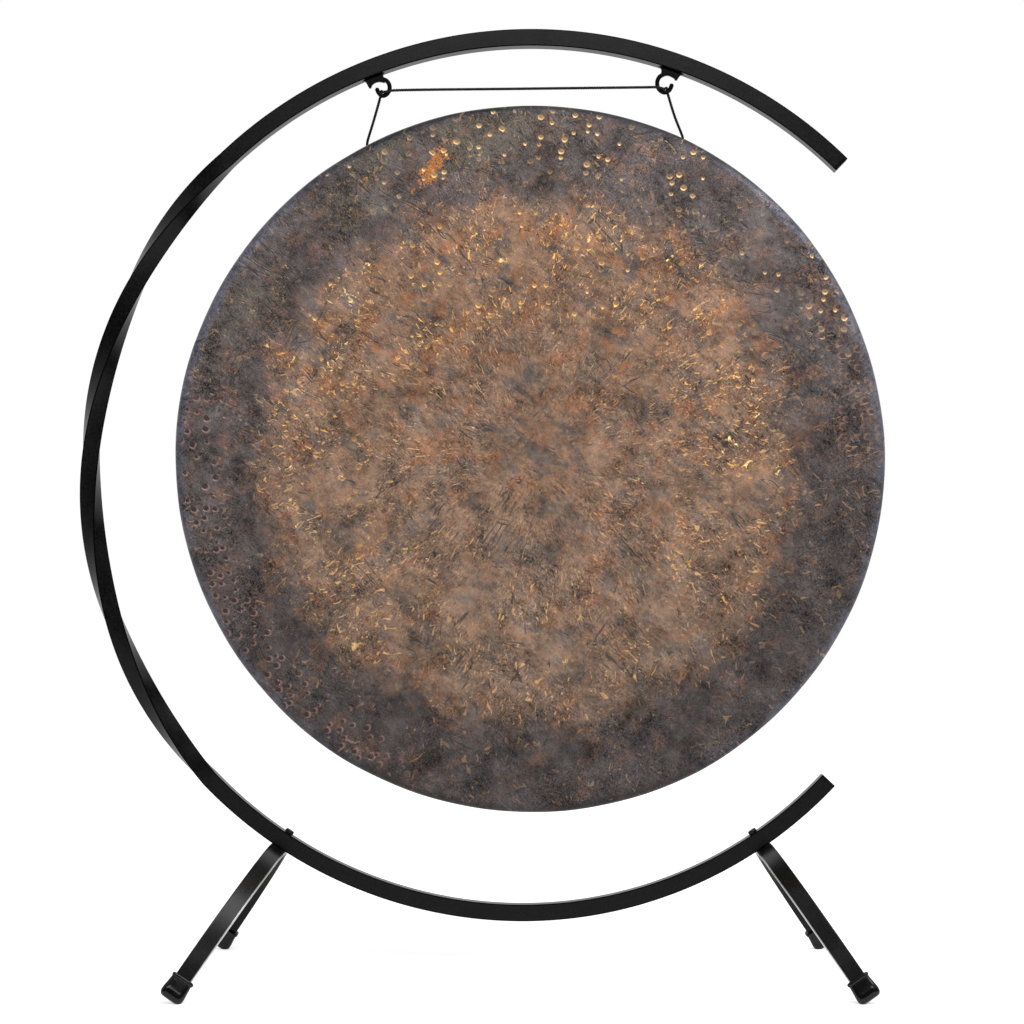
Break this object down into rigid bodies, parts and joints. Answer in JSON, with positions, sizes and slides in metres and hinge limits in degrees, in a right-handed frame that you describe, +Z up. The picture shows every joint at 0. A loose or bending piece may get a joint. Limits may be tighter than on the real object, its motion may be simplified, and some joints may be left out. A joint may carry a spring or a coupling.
{
  "type": "gong stand",
  "caption": "Open C-shaped square-bar gong stand, twisted once on one side, on arched bolted legs with rubber feet, with its gong hung on a cord from hooks under the top arc.",
  "frame": {"origin": "on the floor, under the middle of the overall width and depth", "axes": "+Z up; -Y towards a viewer who faces the gong; +X to that viewer's right, where the frame is open"},
  "size_m": [0.9232, 0.419, 1.082],
  "materials": {
    "bar": "satin black powder coat on steel bar",
    "hook": "black coat on bent steel rod with a welded root",
    "fastener": "blackened steel bolt, nut and washer",
    "rubber": "smooth black moulded rubber with a slight sheen",
    "cord": "thin black laid cord",
    "gong": "hammered bronze with a dark mottled patina, browner in the middle, with bright hammer marks"
  },
  "bodies": {
    "frame": {"c_frame": "bar", "hook_left": "hook", "hook_right": "hook", "leg_bolt_left": "fastener", "leg_washer_left": "fastener", "leg_nut_left": "fastener", "leg_bolt_right": "fastener", "leg_washer_right": "fastener", "leg_nut_right": "fastener", "cord_cross_run": "cord"},
    "leg_left": {"leg_left": "bar", "foot_left_front": "rubber", "foot_left_back": "rubber"},
    "leg_right": {"leg_right": "bar", "foot_right_front": "rubber", "foot_right_back": "rubber"},
    "gong": {"gong": "gong", "cord_left": "cord", "cord_right": "cord", "knot_left": "cord", "knot_right": "cord"}
  },
  "joints": [
    {"name": "gong_swing", "type": "hinge", "parent": "frame", "child": "gong", "pos_m": [-0.1168, 0, 1.0086], "axis": [0.9999, 0, 0.0107], "range_deg": [-20, 20]},
    {"name": "leg_left_swivel", "type": "hinge", "parent": "frame", "child": "leg_left", "pos_m": [-0.22756, 0, 0.15414], "axis": [0.5527, 0, 0.8334], "range_deg": [-90, 90]},
    {"name": "leg_right_swivel", "type": "hinge", "parent": "frame", "child": "leg_right", "pos_m": [0.3157, 0, 0.15438], "axis": [-0.5621, 0, 0.8271], "range_deg": [-90, 90]}
  ]
}
